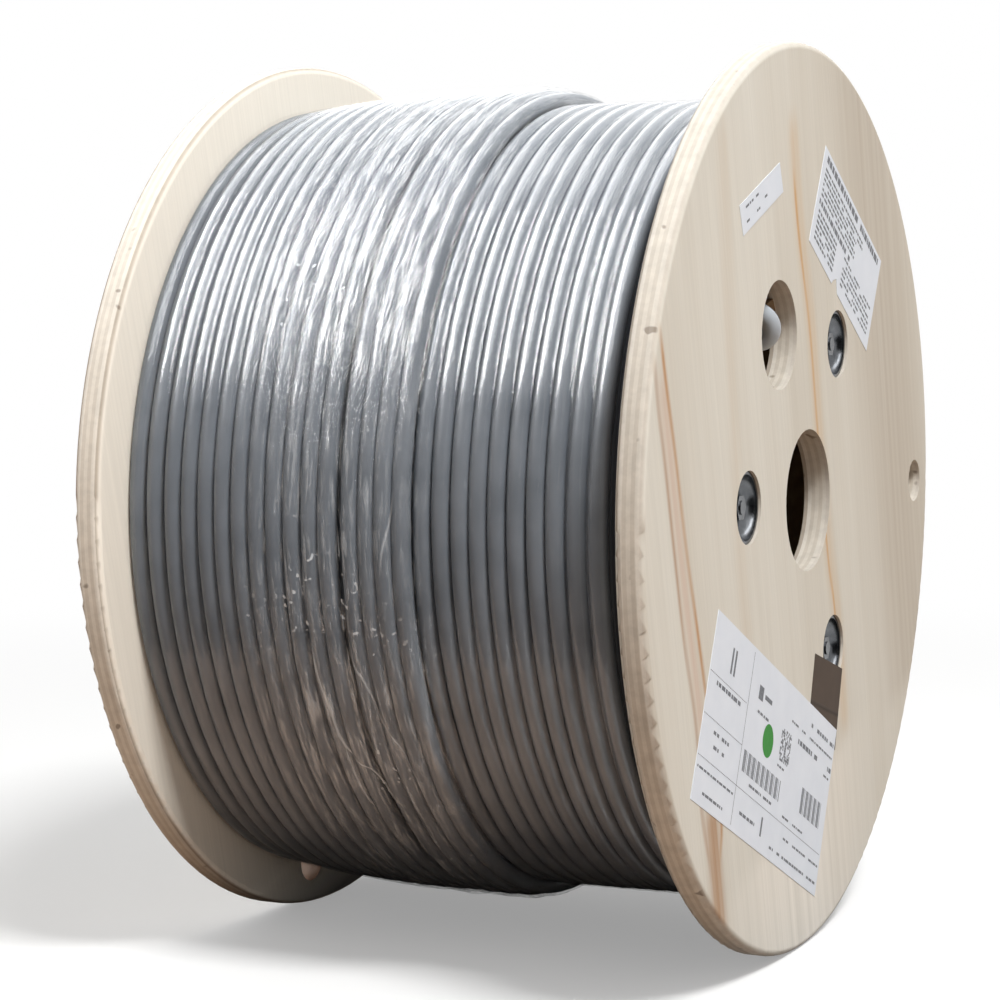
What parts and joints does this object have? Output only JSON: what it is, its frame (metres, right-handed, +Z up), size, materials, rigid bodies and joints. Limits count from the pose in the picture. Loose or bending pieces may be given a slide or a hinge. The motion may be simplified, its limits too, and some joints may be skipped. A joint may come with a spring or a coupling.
{
  "type": "wooden cable drum",
  "caption": "Plywood cable drum wound with grey data cable under clear film; two round flanges, tube barrel and tie bolts, turned on an arbor to pay out cable.",
  "frame": {"origin": "on the floor under the middle of the drum", "axes": "+X along the drum's axis, out of the labelled flange; +Z up; the drum stands on its rims"},
  "size_m": [0.2522, 0.4, 0.4],
  "materials": {
    "plywood": "raw sanded softwood plywood",
    "barrel_tube": "matt wound board",
    "zinc_steel": "zinc-plated, dull",
    "cable_jacket": "satin grey jacket",
    "film": "clear glossy stretch film",
    "paper": "coated white label paper",
    "tape": "brown packing tape"
  },
  "bodies": {
    "root": {"flange_label_side": "plywood", "flange_far_side": "plywood", "barrel": "barrel_tube", "tie_bolt_a": "zinc_steel", "tie_bolt_b": "zinc_steel", "tie_bolt_c": "zinc_steel", "nut_a": "zinc_steel", "nut_b": "zinc_steel", "nut_c": "zinc_steel", "cup_label_a": "zinc_steel", "cup_label_b": "zinc_steel", "cup_label_c": "zinc_steel", "cup_far_a": "zinc_steel", "cup_far_b": "zinc_steel", "cup_far_c": "zinc_steel", "cable_winding": "cable_jacket", "cable_inner_end": "cable_jacket", "stretch_film": "film", "label_large": "paper", "label_medium": "paper", "label_small": "paper", "brown_tape": "tape"}
  },
  "joints": []
}
